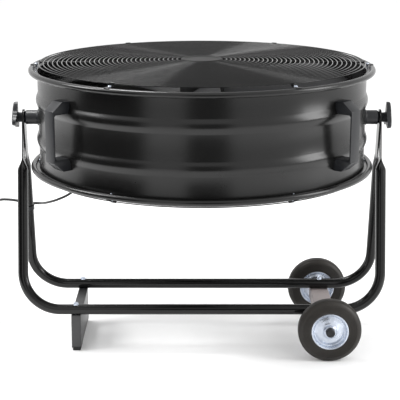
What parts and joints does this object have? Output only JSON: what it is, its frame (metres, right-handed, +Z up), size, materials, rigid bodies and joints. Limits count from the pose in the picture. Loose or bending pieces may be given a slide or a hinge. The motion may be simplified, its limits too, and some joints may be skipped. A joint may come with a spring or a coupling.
{
  "type": "drum fan",
  "caption": "Large tilting drum fan facing straight up, with wire ring guards, clamped pivots and bow handles, on a bent tube stand with two wheels and a foot, and a coiled power cord.",
  "frame": {"origin": "on the floor under the middle of the tilt axis", "axes": "+X along the tilt axis to the pivot over the wheels, +Y to the rear, +Z up"},
  "size_m": [1.2928, 0.98, 0.8335],
  "materials": {
    "black_paint": "semi-gloss black powder coat",
    "guard_wire": "dark grey gloss coat on steel wire",
    "zinc": "bright zinc plate",
    "foot_paint": "satin dark grey",
    "channel_paint": "satin grey",
    "tyre_rubber": "matte rubber",
    "black_rubber": "matte rubber",
    "black_plastic": "moulded nylon",
    "motor_paint": "satin black",
    "stator_steel": "laminated steel",
    "blade_metal": "satin",
    "pin_brass": "plain"
  },
  "bodies": {
    "stand": {"front_frame_tube": "black_paint", "rear_frame_tube": "black_paint", "foot_channel": "foot_paint", "foot_pads": "black_rubber", "foot_bolts": "zinc", "axle_channel": "channel_paint", "axle_channel_bolts": "zinc", "axle": "zinc", "wheel_spacers": "zinc", "axle_caps": "black_rubber", "cord_clip": "black_plastic", "cord_run": "black_rubber", "cord_coil": "black_rubber", "cord_tie": "black_rubber", "plug_body": "black_rubber", "plug_pins": "pin_brass"},
    "front_wheel": {"front_tyre": "tyre_rubber", "front_wheel_rim": "zinc", "front_wheel_bush": "black_plastic"},
    "rear_wheel": {"rear_tyre": "tyre_rubber", "rear_wheel_rim": "zinc", "rear_wheel_bush": "black_plastic"},
    "fan": {"motor_shaft": "zinc", "fan_hub": "blade_metal", "fan_blade_1": "blade_metal", "fan_blade_2": "blade_metal", "fan_blade_3": "blade_metal"},
    "left_knob": {"left_tilt_knob": "black_plastic", "left_knob_insert": "zinc"},
    "right_knob": {"right_tilt_knob": "black_plastic", "right_knob_insert": "zinc"},
    "speed_knob": {"speed_knob": "black_plastic"},
    "drum": {"bottom_guard": "guard_wire", "bottom_guard_clips": "guard_wire", "cord_gland": "black_plastic", "cord_lead": "black_rubber", "drum_shell": "black_paint", "front_motor_bar": "black_paint", "guard_screws": "zinc", "left_handle": "black_paint", "left_sleeve": "black_paint", "left_stud": "zinc", "lid_screws": "zinc", "motor_bolts": "zinc", "motor_case": "motor_paint", "motor_front_cap": "motor_paint", "motor_plate": "black_paint", "motor_rear_cap": "motor_paint", "motor_stator": "stator_steel", "plate_bolts": "zinc", "rear_motor_bar": "black_paint", "right_handle": "black_paint", "right_sleeve": "black_paint", "right_stud": "zinc", "speed_switch": "black_plastic", "switch_box": "motor_paint", "switch_lid": "motor_paint", "top_guard": "guard_wire", "top_guard_clips": "guard_wire", "wall_screws": "zinc"}
  },
  "joints": [
    {"name": "drum_tilt", "type": "hinge", "parent": "stand", "child": "drum", "pos_m": [0, 0, 0.665], "axis": [1, 0, 0], "range_deg": [-90, 90]},
    {"name": "fan_spin", "type": "hinge", "parent": "drum", "child": "fan", "pos_m": [0, 0, 0.7], "axis": [0, 0, 1], "continuous": true},
    {"name": "front_wheel_spin", "type": "hinge", "parent": "stand", "child": "front_wheel", "pos_m": [0.362, -0.197, 0.09], "axis": [0, 1, 0], "continuous": true},
    {"name": "rear_wheel_spin", "type": "hinge", "parent": "stand", "child": "rear_wheel", "pos_m": [0.362, 0.197, 0.09], "axis": [0, 1, 0], "continuous": true},
    {"name": "left_knob_turn", "type": "hinge", "parent": "drum", "child": "left_knob", "pos_m": [-0.53, 0, 0.665], "axis": [-1, 0, 0], "range_deg": [0, 360]},
    {"name": "right_knob_turn", "type": "hinge", "parent": "drum", "child": "right_knob", "pos_m": [0.53, 0, 0.665], "axis": [1, 0, 0], "range_deg": [0, 360]},
    {"name": "speed_knob_turn", "type": "hinge", "parent": "drum", "child": "speed_knob", "pos_m": [-0.35353, 0.42132, 0.67], "axis": [-0.6428, 0.766, 0], "range_deg": [0, 120]}
  ]
}
